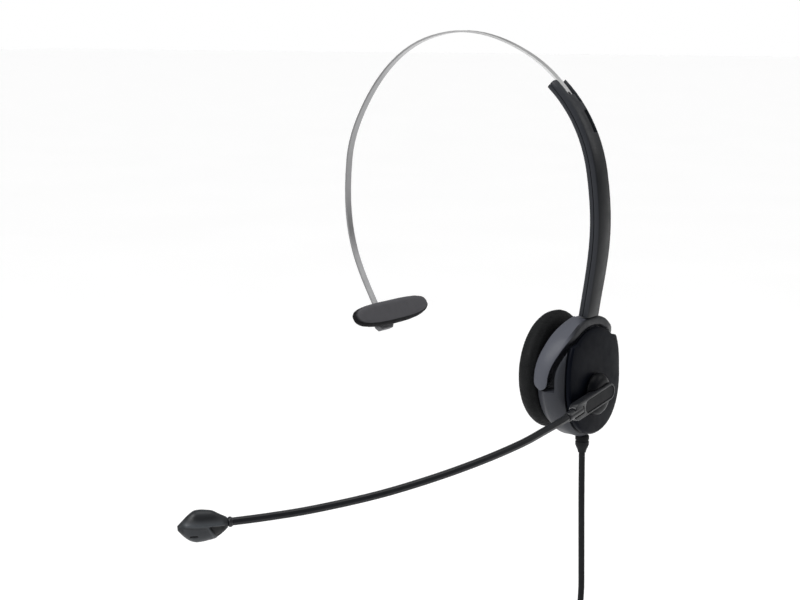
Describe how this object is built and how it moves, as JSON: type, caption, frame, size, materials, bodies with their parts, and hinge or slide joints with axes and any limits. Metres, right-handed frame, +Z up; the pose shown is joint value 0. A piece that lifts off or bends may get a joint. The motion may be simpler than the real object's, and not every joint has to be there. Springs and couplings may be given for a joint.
{
  "type": "office headset",
  "caption": "One-ear headset with a spring-steel headband, sliding side arm, tilting ear cup, temple pad, bent microphone boom and a corded plug.",
  "frame": {"origin": "middle of the wearer's head, at the height of the ear cup's axis", "axes": "+X out through the ear cup, -Y the way the wearer faces, +Z up"},
  "size_m": [0.1459, 0.2135, 0.3465],
  "materials": {
    "cup_plastic": "fine matte moulded plastic, dark grey",
    "black_plastic": "black moulded plastic with a soft sheen",
    "cover_plastic": "very dark blue-black, low sheen",
    "yoke_plastic": "mid grey moulded plastic",
    "bracket_plastic": "light grey moulded plastic",
    "inner_plastic": "dark moulded plastic",
    "band_steel": "satin spring steel",
    "small_steel": "plain turned steel",
    "ear_leatherette": "dull black leatherette over foam",
    "pad_leatherette": "dark grey, matte",
    "cloth": "thin woven speaker cloth",
    "diaphragm_film": "thin translucent film",
    "magnet_steel": "nickel plated",
    "board": "green solder mask",
    "cord_rubber": "black flexible sheath",
    "plug_metal": "bright plated sheet",
    "tongue_plastic": "white plastic"
  },
  "bodies": {
    "ear_cup": {"ear_cushion": "ear_leatherette", "cushion_ring": "inner_plastic", "speaker_cloth": "cloth", "speaker_baffle": "inner_plastic", "driver_frame": "inner_plastic", "driver_diaphragm": "diaphragm_film", "driver_magnet": "magnet_steel", "ear_cup_housing": "cup_plastic", "ear_cup_cover": "cover_plastic", "circuit_board": "board", "cup_screw_1": "small_steel", "cup_screw_2": "small_steel", "cup_screw_3": "small_steel", "cup_pivot_pin_front": "small_steel", "cup_pivot_pin_rear": "small_steel", "cable_strain_relief": "cord_rubber", "cord": "cord_rubber", "cord_tail": "cord_rubber", "cord_coil": "cord_rubber", "coil_tie": "cloth", "plug_strain_relief": "cord_rubber", "plug_body": "black_plastic", "plug_shell": "plug_metal", "plug_tongue": "tongue_plastic"},
    "yoke": {"yoke": "yoke_plastic"},
    "arm": {"arm_outer_shell": "black_plastic", "arm_inner_shell": "black_plastic", "detent_spring": "small_steel", "swivel_pin": "small_steel", "swivel_clip": "small_steel", "arm_screw_1": "small_steel", "arm_screw_2": "small_steel"},
    "band": {"headband_strip": "band_steel", "slider_plate": "black_plastic", "slider_rivet_1": "black_plastic", "slider_rivet_2": "black_plastic", "pad_bracket": "bracket_plastic"},
    "temple_pad": {"temple_pad_cushion": "pad_leatherette", "pad_backplate": "inner_plastic", "pad_hinge_pin": "small_steel"},
    "boom": {"boom_hub": "black_plastic", "boom_holder": "cup_plastic", "holder_inlay": "black_plastic", "boom_collar": "cup_plastic", "boom_tube": "black_plastic", "boom_washer": "small_steel", "boom_screw": "small_steel", "mic_cover_outer": "black_plastic", "mic_housing_inner": "black_plastic", "mic_capsule": "small_steel", "mic_screen": "cloth"}
  },
  "joints": [
    {"name": "cup_tilt", "type": "hinge", "parent": "ear_cup", "child": "yoke", "pos_m": [0.0525, 0, 0], "axis": [0, 1, 0], "range_deg": [-4, 3]},
    {"name": "arm_swivel", "type": "hinge", "parent": "yoke", "child": "arm", "pos_m": [0.0606, 0, 0.026], "axis": [0, 0, 1], "range_deg": [-15, 15]},
    {"name": "size_slide", "type": "hinge", "parent": "arm", "child": "band", "pos_m": [0.0003, 0, 0.0794], "axis": [0, 1, 0], "range_deg": [0, 12]},
    {"name": "pad_tilt", "type": "hinge", "parent": "band", "child": "temple_pad", "pos_m": [-0.04542, 0, 0.01408], "axis": [0, 1, 0], "range_deg": [-8, 8]},
    {"name": "boom_swing", "type": "hinge", "parent": "ear_cup", "child": "boom", "pos_m": [0.066, -0.0026, -0.0072], "axis": [1, 0, 0], "range_deg": [-70, 60]}
  ]
}
